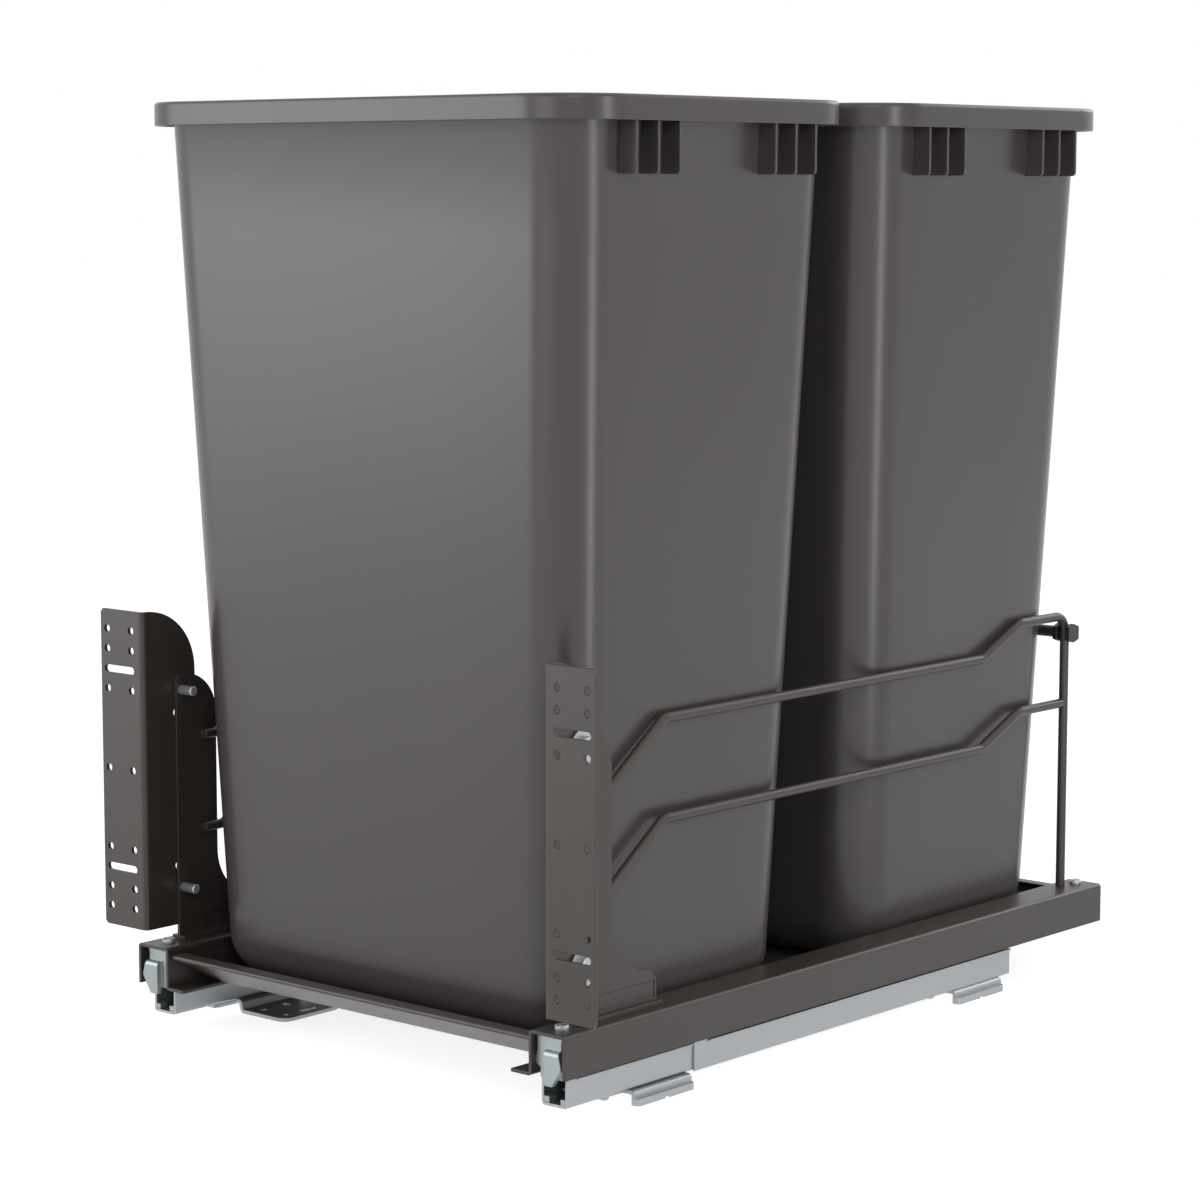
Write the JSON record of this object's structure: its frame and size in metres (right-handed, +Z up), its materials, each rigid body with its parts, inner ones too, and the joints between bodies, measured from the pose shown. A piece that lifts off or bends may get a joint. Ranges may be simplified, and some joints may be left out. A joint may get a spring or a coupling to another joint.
{
  "type": "pull out bin frame",
  "caption": "Pull-out frame on full-extension slides that carries tall lift-out waste bins in a folded tray between wire sides, with slotted brackets for a cabinet door.",
  "frame": {"origin": "on the cabinet floor, on the centre line, at the front edge of the side rails", "axes": "+X to the right as seen from the front, +Y into the cabinet, +Z up; the frame pulls out along -Y"},
  "size_m": [0.4216, 0.5691, 0.5909],
  "materials": {
    "zinc_sheet": "zinc-plated rolled sheet, satin",
    "frame_paint": "dark grey-brown powder coat, fine satin",
    "fastener": "zinc-plated, lightly polished",
    "roller_steel": "ground steel",
    "bin_plastic": "injection-moulded polyethylene, satin grey",
    "black_plastic": "moulded nylon, black",
    "grey_plastic": "moulded acetal, natural grey"
  },
  "bodies": {
    "cabinet_side": {"cabinet_channel_right": "zinc_sheet", "cabinet_channel_left": "zinc_sheet", "channel_cover_right": "zinc_sheet", "channel_cover_left": "zinc_sheet", "channel_stops_right": "grey_plastic", "channel_stops_left": "grey_plastic", "closer_striker_right": "zinc_sheet", "closer_striker_left": "zinc_sheet", "floor_bracket_front_right": "zinc_sheet", "floor_bracket_front_left": "zinc_sheet", "floor_bracket_rear_right": "zinc_sheet", "floor_bracket_rear_left": "zinc_sheet"},
    "sliding_frame": {"top_member_right": "zinc_sheet", "top_member_left": "zinc_sheet", "slide_end_plate_right": "zinc_sheet", "slide_end_plate_left": "zinc_sheet", "closer_housing_right": "black_plastic", "closer_housing_left": "black_plastic", "damper_cylinder_right": "black_plastic", "damper_cylinder_left": "black_plastic", "side_rail_right": "frame_paint", "side_rail_left": "frame_paint", "base_tray": "frame_paint", "upright_plate_right": "frame_paint", "upright_plate_left": "frame_paint", "upper_wire_right": "frame_paint", "upper_wire_left": "frame_paint", "lower_wire_right": "frame_paint", "lower_wire_left": "frame_paint", "post_clip_right": "black_plastic", "post_clip_left": "black_plastic", "rear_cross_rod": "frame_paint", "front_rail_screws": "fastener", "rear_rail_screws": "fastener", "bracket_bolts_right": "fastener", "bracket_bolts_left": "fastener", "bracket_washers_right": "fastener", "bracket_washers_left": "fastener"},
    "front_bin": {"bin_front": "bin_plastic"},
    "rear_bin": {"bin_rear": "bin_plastic"},
    "lower_cage_set_right": {"lower_cage_right": "grey_plastic", "lower_rollers_right": "roller_steel"},
    "middle_slide_right": {"middle_member_right": "zinc_sheet"},
    "upper_cage_set_right": {"upper_cage_right": "grey_plastic", "upper_rollers_right": "roller_steel"},
    "soft_close_right": {"closer_catch_right": "black_plastic", "damper_rod_right": "roller_steel"},
    "door_arm_right": {"door_bracket_right": "frame_paint"},
    "lower_cage_set_left": {"lower_cage_left": "grey_plastic", "lower_rollers_left": "roller_steel"},
    "middle_slide_left": {"middle_member_left": "zinc_sheet"},
    "upper_cage_set_left": {"upper_cage_left": "grey_plastic", "upper_rollers_left": "roller_steel"},
    "soft_close_left": {"closer_catch_left": "black_plastic", "damper_rod_left": "roller_steel"},
    "door_arm_left": {"door_bracket_left": "frame_paint"}
  },
  "joints": [
    {"name": "frame_slide", "type": "slide", "parent": "cabinet_side", "child": "sliding_frame", "axis": [0, -1, 0], "range_m": [0, 0.45]},
    {"name": "lower_cage_set_right_slide", "type": "slide", "parent": "cabinet_side", "child": "lower_cage_set_right", "axis": [0, -1, 0], "range_m": [0, 0.1125]},
    {"name": "middle_slide_right_slide", "type": "slide", "parent": "cabinet_side", "child": "middle_slide_right", "axis": [0, -1, 0], "range_m": [0, 0.225]},
    {"name": "upper_cage_set_right_slide", "type": "slide", "parent": "cabinet_side", "child": "upper_cage_set_right", "axis": [0, -1, 0], "range_m": [0, 0.3375]},
    {"name": "soft_close_right_slide", "type": "slide", "parent": "sliding_frame", "child": "soft_close_right", "axis": [0, 1, 0], "range_m": [0, 0.04]},
    {"name": "door_arm_right_adjust", "type": "slide", "parent": "sliding_frame", "child": "door_arm_right", "axis": [0, 0, 1], "range_m": [-0.004, 0.004]},
    {"name": "lower_cage_set_left_slide", "type": "slide", "parent": "cabinet_side", "child": "lower_cage_set_left", "axis": [0, -1, 0], "range_m": [0, 0.1125]},
    {"name": "middle_slide_left_slide", "type": "slide", "parent": "cabinet_side", "child": "middle_slide_left", "axis": [0, -1, 0], "range_m": [0, 0.225]},
    {"name": "upper_cage_set_left_slide", "type": "slide", "parent": "cabinet_side", "child": "upper_cage_set_left", "axis": [0, -1, 0], "range_m": [0, 0.3375]},
    {"name": "soft_close_left_slide", "type": "slide", "parent": "sliding_frame", "child": "soft_close_left", "axis": [0, 1, 0], "range_m": [0, 0.04]},
    {"name": "door_arm_left_adjust", "type": "slide", "parent": "sliding_frame", "child": "door_arm_left", "axis": [0, 0, 1], "range_m": [-0.004, 0.004]},
    {"name": "front_bin_lift", "type": "slide", "parent": "sliding_frame", "child": "front_bin", "axis": [0, 0, 1], "range_m": [0, 0.6]},
    {"name": "rear_bin_lift", "type": "slide", "parent": "sliding_frame", "child": "rear_bin", "axis": [0, 0, 1], "range_m": [0, 0.6]}
  ],
  "couplings": [
    {"joint": "lower_cage_set_right_slide", "follows": "frame_slide", "ratio": 0.25},
    {"joint": "middle_slide_right_slide", "follows": "frame_slide", "ratio": 0.5},
    {"joint": "upper_cage_set_right_slide", "follows": "frame_slide", "ratio": 0.75},
    {"joint": "lower_cage_set_left_slide", "follows": "frame_slide", "ratio": 0.25},
    {"joint": "middle_slide_left_slide", "follows": "frame_slide", "ratio": 0.5},
    {"joint": "upper_cage_set_left_slide", "follows": "frame_slide", "ratio": 0.75}
  ]
}
